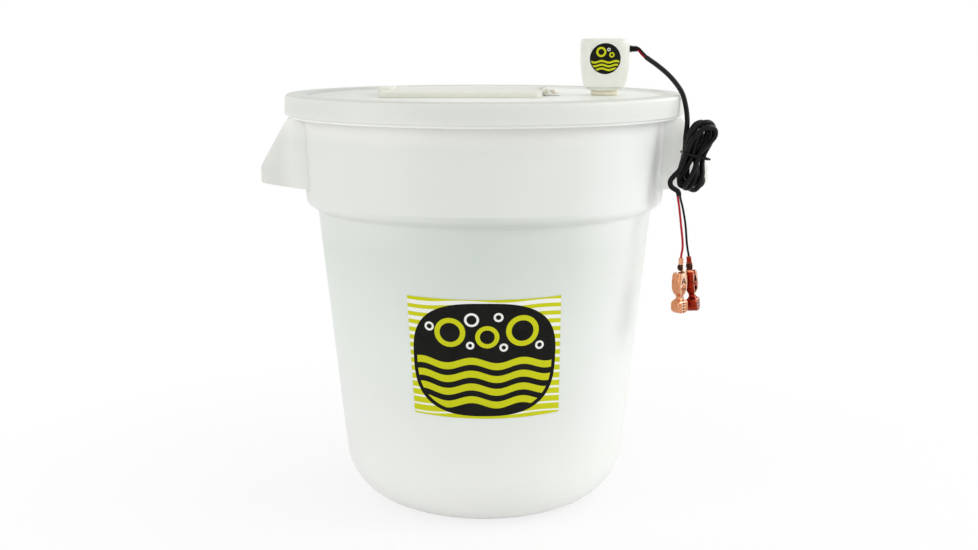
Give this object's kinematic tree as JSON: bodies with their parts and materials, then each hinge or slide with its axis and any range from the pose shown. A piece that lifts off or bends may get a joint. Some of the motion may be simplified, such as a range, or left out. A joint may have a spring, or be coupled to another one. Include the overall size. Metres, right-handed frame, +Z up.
{
  "type": "live bait well",
  "caption": "Round live bait tub with side handles, a press-on lid with a hinged bait door, and a battery aerator on a stem with a cord and crocodile clips.",
  "frame": {"origin": "on the floor under the middle of the round tub, at the centre of the overall box's base", "axes": "+Z up; +X towards the aerator head and its hanging cord, along the two handles; +Y towards the back"},
  "size_m": [0.4492, 0.406, 0.4772],
  "materials": {
    "milky_plastic": "satin",
    "door_plastic": "satin",
    "ivory_plastic": "satin",
    "black_rubber": "matte",
    "tan_rubber": "matte",
    "red_sheath": "satin",
    "copper_sheet": "satin",
    "yellow_metal": "satin",
    "zinc_steel": "satin",
    "grey_plastic": "satin"
  },
  "bodies": {
    "tub": {"tub_body": "milky_plastic"},
    "lid": {"lid": "milky_plastic", "hinge_bracket_front": "milky_plastic", "hinge_bracket_rear": "milky_plastic", "hinge_pin_front": "zinc_steel", "hinge_pin_rear": "zinc_steel", "hinge_screw_front": "yellow_metal", "hinge_screw_rear": "yellow_metal", "hinge_nut_front": "yellow_metal", "hinge_nut_rear": "yellow_metal", "head_shell": "ivory_plastic", "head_base": "ivory_plastic", "head_gasket": "tan_rubber", "stem_washer": "zinc_steel", "lock_nut": "ivory_plastic", "motor_can": "zinc_steel", "motor_end_cap": "black_rubber", "motor_terminal_red": "yellow_metal", "motor_terminal_black": "yellow_metal", "motor_lead_red": "red_sheath", "motor_lead_black": "black_rubber", "stem_tube": "ivory_plastic", "shaft_bush_upper": "yellow_metal", "shaft_bush_lower": "yellow_metal", "strainer_cage": "grey_plastic", "strainer_cap": "grey_plastic", "strain_relief": "black_rubber", "wire_red_top": "red_sheath", "wire_black_top": "black_rubber", "cable_drop": "black_rubber", "cable_hank": "black_rubber", "cable_tail": "black_rubber", "lead_red": "red_sheath", "lead_black": "black_rubber", "hank_tie": "black_rubber", "clip_red_fixed_jaw": "copper_sheet", "clip_red_pin": "copper_sheet", "clip_red_spring": "zinc_steel", "clip_red_screw": "yellow_metal", "clip_black_fixed_jaw": "copper_sheet", "clip_black_pin": "copper_sheet", "clip_black_spring": "zinc_steel", "clip_black_screw": "yellow_metal"},
    "door": {"door": "door_plastic"},
    "rotor": {"motor_shaft": "zinc_steel", "shaft_coupling": "zinc_steel", "drive_shaft": "zinc_steel", "impeller": "grey_plastic", "impeller_nut": "yellow_metal"},
    "clip_red_jaw": {"clip_red_moving_jaw": "copper_sheet"},
    "clip_black_jaw": {"clip_black_moving_jaw": "copper_sheet"}
  },
  "joints": [
    {"name": "lid_lift", "type": "slide", "parent": "tub", "child": "lid", "axis": [0, 0, 1], "range_m": [0, 0.37]},
    {"name": "door_hinge", "type": "hinge", "parent": "lid", "child": "door", "pos_m": [0.0623, 0.0075, 0.4245], "axis": [0, 1, 0], "range_deg": [0, 105]},
    {"name": "impeller_spin", "type": "hinge", "parent": "lid", "child": "rotor", "pos_m": [0.1225, 0, 0.25], "axis": [0, 0, 1], "continuous": true},
    {"name": "clip_red_squeeze", "type": "hinge", "parent": "lid", "child": "clip_red_jaw", "pos_m": [0.1908, -0.098, 0.2402], "axis": [-0.6613, 0.7501, 0], "range_deg": [0, 20], "stiffness_Nm_per_rad": 0.1, "springref_deg": -20.05},
    {"name": "clip_black_squeeze", "type": "hinge", "parent": "lid", "child": "clip_black_jaw", "pos_m": [0.2035, -0.086, 0.24], "axis": [0.9112, -0.3987, 0.1038], "range_deg": [0, 20], "stiffness_Nm_per_rad": 0.1, "springref_deg": -20.05}
  ]
}
